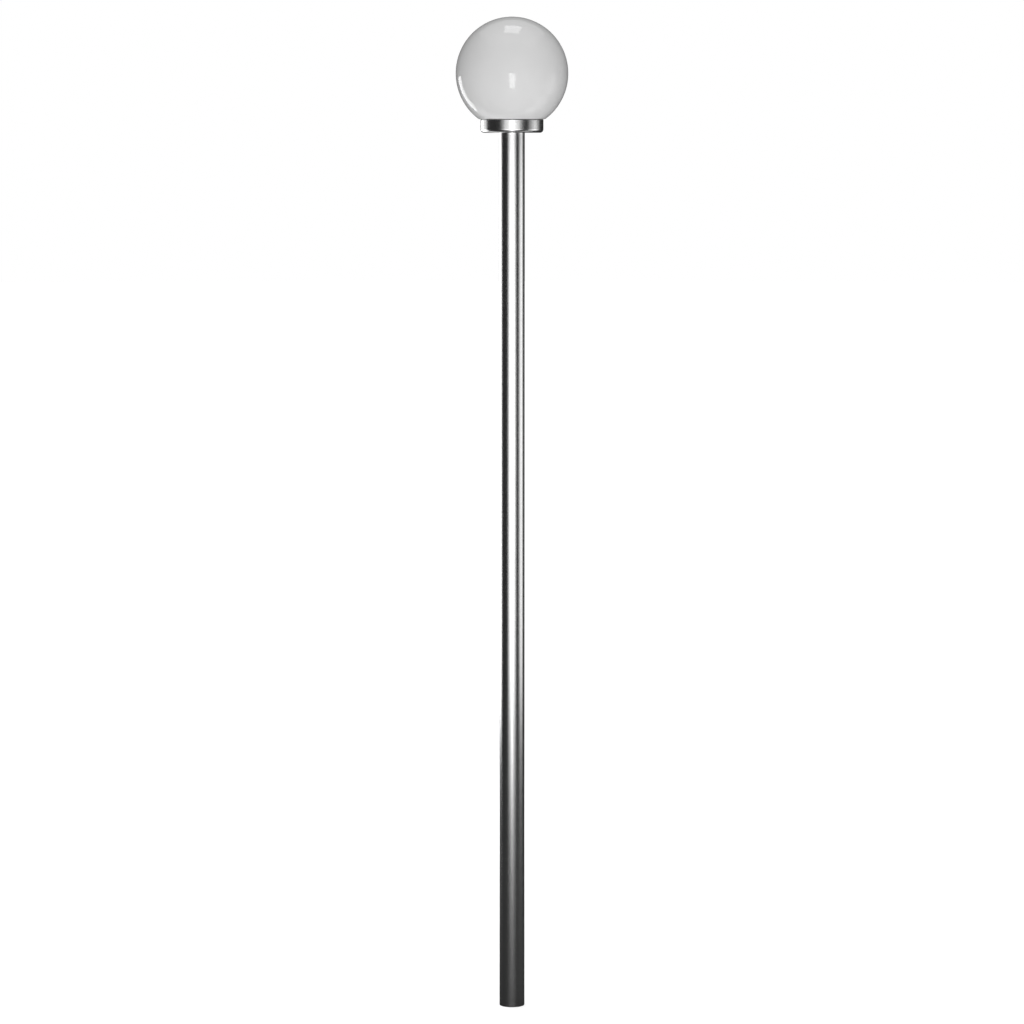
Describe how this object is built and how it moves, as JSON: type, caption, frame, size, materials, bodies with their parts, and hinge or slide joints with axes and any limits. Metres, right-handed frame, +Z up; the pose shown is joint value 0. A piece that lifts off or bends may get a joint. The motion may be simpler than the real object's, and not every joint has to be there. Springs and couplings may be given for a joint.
{
  "type": "garden lamp post with opal globe",
  "caption": "Straight stainless steel garden lamp post with a pressed steel cup that carries an opal globe over a screw-in bulb.",
  "frame": {"origin": "centre of the foot's flat underside, where the post stands on its ground anchor", "axes": "+Z up along the pole, +X to the right and +Y to the back when the post is seen from its front"},
  "size_m": [0.25, 0.25, 2.2355],
  "materials": {
    "brushed_pole": "fine brushed stainless steel",
    "polished_cup": "polished stainless steel",
    "plain_steel": "turned stainless steel",
    "zinc_steel": "zinc plated",
    "opal_acrylic": "glossy opal white",
    "seal_rubber": "matt black",
    "white_plastic": "satin white",
    "white_ceramic": "glazed white",
    "brass": "bright",
    "nickel_cap": "bright",
    "black_insulator": "glossy black",
    "bulb_opal": "frosted white"
  },
  "bodies": {
    "root": {"foot_ring": "plain_steel", "cable_grommet": "seal_rubber", "pole_tube": "brushed_pole", "neck_sleeve": "plain_steel", "globe_cup": "polished_cup", "bayonet_ring": "white_plastic", "globe_seal": "seal_rubber", "opal_globe": "opal_acrylic", "globe_neck": "white_plastic", "holder_bracket": "zinc_steel", "wire_nipple": "brass", "nipple_nut": "brass", "lampholder_body": "white_ceramic", "lampholder_shell": "brass", "centre_contact": "brass", "bulb_contact": "nickel_cap", "bulb_insulator": "black_insulator", "bulb_cap": "nickel_cap", "bulb_body": "white_plastic", "bulb_dome": "bulb_opal", "terminal_block": "white_plastic"}
  },
  "joints": []
}
